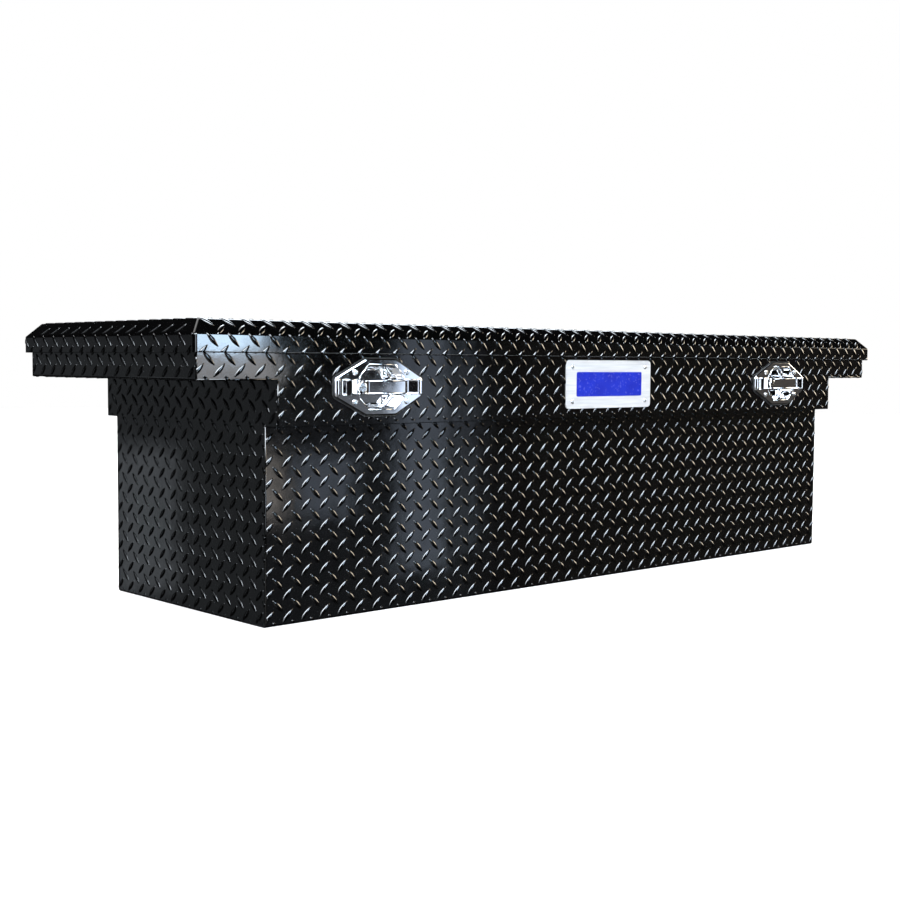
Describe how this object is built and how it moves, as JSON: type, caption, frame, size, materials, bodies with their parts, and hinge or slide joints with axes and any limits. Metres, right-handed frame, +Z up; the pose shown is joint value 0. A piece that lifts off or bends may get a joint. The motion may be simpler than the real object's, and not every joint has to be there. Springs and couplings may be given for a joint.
{
  "type": "truck tool box",
  "caption": "Low-profile crossover tool box for a pickup bed, folded from black tread plate, with a hinged lid on gas struts and lockable pull latches.",
  "frame": {"origin": "centre of the underside of the tub's floor", "axes": "+X along the box to its right end seen from the latch side, +Y from the latch side to the hinge side, +Z up"},
  "size_m": [1.77, 0.5365, 0.459],
  "materials": {
    "black_tread_sheet": "gloss black powder coat over tread plate",
    "mill_aluminium": "mill finish sheet",
    "seal_rubber": "matte foam rubber",
    "brushed_badge": "satin plate",
    "blue_panel": "gloss enamel panel with no lettering",
    "zinc_steel": "bright zinc plate",
    "hinge_steel": "satin black coated piano hinge",
    "strut_black": "satin black paint",
    "rod_chrome": "polished rod",
    "latch_chrome": "bright chrome plate",
    "lock_steel": "bright plated lock plug"
  },
  "bodies": {
    "tub": {"tub_shell": "black_tread_sheet", "front_panel": "black_tread_sheet", "rear_panel": "black_tread_sheet", "left_end_panel": "black_tread_sheet", "right_end_panel": "black_tread_sheet", "left_saddle": "black_tread_sheet", "right_saddle": "black_tread_sheet", "rim_seal": "seal_rubber", "badge_plate": "brushed_badge", "badge_inlay": "blue_panel", "badge_rivets": "zinc_steel", "hinge_tub_leaf": "hinge_steel", "hinge_pin": "zinc_steel", "hinge_tub_rivets": "zinc_steel", "left_strut_tub_stud": "zinc_steel", "right_strut_tub_stud": "zinc_steel", "strut_screws": "zinc_steel", "left_latch_gasket": "seal_rubber", "left_latch_bezel": "latch_chrome", "left_latch_pivot_pin": "zinc_steel", "left_latch_backplate": "zinc_steel", "left_latch_catch_stud": "zinc_steel", "left_latch_catch_spring": "zinc_steel", "left_latch_screws": "zinc_steel", "left_latch_nuts": "zinc_steel", "right_latch_gasket": "seal_rubber", "right_latch_bezel": "latch_chrome", "right_latch_pivot_pin": "zinc_steel", "right_latch_backplate": "zinc_steel", "right_latch_catch_stud": "zinc_steel", "right_latch_catch_spring": "zinc_steel", "right_latch_screws": "zinc_steel", "right_latch_nuts": "zinc_steel"},
    "lid": {"lid_skin": "black_tread_sheet", "lid_pan": "mill_aluminium", "lid_stiffeners": "mill_aluminium", "hinge_lid_leaf": "hinge_steel", "left_strut_lid_stud": "zinc_steel", "right_strut_lid_stud": "zinc_steel", "left_latch_striker": "zinc_steel", "right_latch_striker": "zinc_steel"},
    "left_strut_cylinder": {"left_strut_cylinder": "strut_black"},
    "left_strut_rod": {"left_strut_rod": "rod_chrome"},
    "left_latch_paddle": {"left_latch_paddle": "latch_chrome"},
    "left_latch_lock": {"left_latch_lock_plug": "lock_steel"},
    "left_latch_catch": {"left_latch_catch": "zinc_steel"},
    "right_strut_cylinder": {"right_strut_cylinder": "strut_black"},
    "right_strut_rod": {"right_strut_rod": "rod_chrome"},
    "right_latch_paddle": {"right_latch_paddle": "latch_chrome"},
    "right_latch_lock": {"right_latch_lock_plug": "lock_steel"},
    "right_latch_catch": {"right_latch_catch": "zinc_steel"}
  },
  "joints": [
    {"name": "lid_hinge", "type": "hinge", "parent": "tub", "child": "lid", "pos_m": [0, 0.259, 0.4063], "axis": [-1, 0, 0], "range_deg": [0, 60]},
    {"name": "left_strut_pivot", "type": "hinge", "parent": "tub", "child": "left_strut_cylinder", "pos_m": [-0.712, 0.203, 0.229], "axis": [-1, 0, 0], "range_deg": [0, 16.3]},
    {"name": "left_strut_slide", "type": "slide", "parent": "left_strut_cylinder", "child": "left_strut_rod", "axis": [0, -0.1669, 0.986], "range_m": [0, 0.0727]},
    {"name": "left_paddle_pivot", "type": "hinge", "parent": "tub", "child": "left_latch_paddle", "pos_m": [-0.611, -0.253, 0.3605], "axis": [0, 0, -1], "range_deg": [0, 30], "stiffness_Nm_per_rad": 0.4, "springref_deg": -5.73},
    {"name": "left_lock_turn", "type": "hinge", "parent": "left_latch_paddle", "child": "left_latch_lock", "pos_m": [-0.593, -0.262, 0.3605], "axis": [0, -1, 0], "range_deg": [0, 90]},
    {"name": "left_catch_pivot", "type": "hinge", "parent": "tub", "child": "left_latch_catch", "pos_m": [-0.603, -0.219, 0.3965], "axis": [0, -1, 0], "range_deg": [0, 31]},
    {"name": "right_strut_pivot", "type": "hinge", "parent": "tub", "child": "right_strut_cylinder", "pos_m": [0.712, 0.203, 0.229], "axis": [-1, 0, 0], "range_deg": [0, 16.3]},
    {"name": "right_strut_slide", "type": "slide", "parent": "right_strut_cylinder", "child": "right_strut_rod", "axis": [0, -0.1669, 0.986], "range_m": [0, 0.0727]},
    {"name": "right_paddle_pivot", "type": "hinge", "parent": "tub", "child": "right_latch_paddle", "pos_m": [0.479, -0.253, 0.3605], "axis": [0, 0, -1], "range_deg": [0, 30], "stiffness_Nm_per_rad": 0.4, "springref_deg": -5.73},
    {"name": "right_lock_turn", "type": "hinge", "parent": "right_latch_paddle", "child": "right_latch_lock", "pos_m": [0.497, -0.262, 0.3605], "axis": [0, -1, 0], "range_deg": [0, 90]},
    {"name": "right_catch_pivot", "type": "hinge", "parent": "tub", "child": "right_latch_catch", "pos_m": [0.487, -0.219, 0.3965], "axis": [0, -1, 0], "range_deg": [0, 31]}
  ],
  "couplings": [
    {"joint": "left_strut_pivot", "follows": "lid_hinge", "ratio": 0.2465},
    {"joint": "left_strut_slide", "follows": "lid_hinge", "m_per_rad": 0.06798},
    {"joint": "left_catch_pivot", "follows": "left_paddle_pivot", "ratio": 1},
    {"joint": "right_strut_pivot", "follows": "lid_hinge", "ratio": 0.2465},
    {"joint": "right_strut_slide", "follows": "lid_hinge", "m_per_rad": 0.06798},
    {"joint": "right_catch_pivot", "follows": "right_paddle_pivot", "ratio": 1}
  ]
}
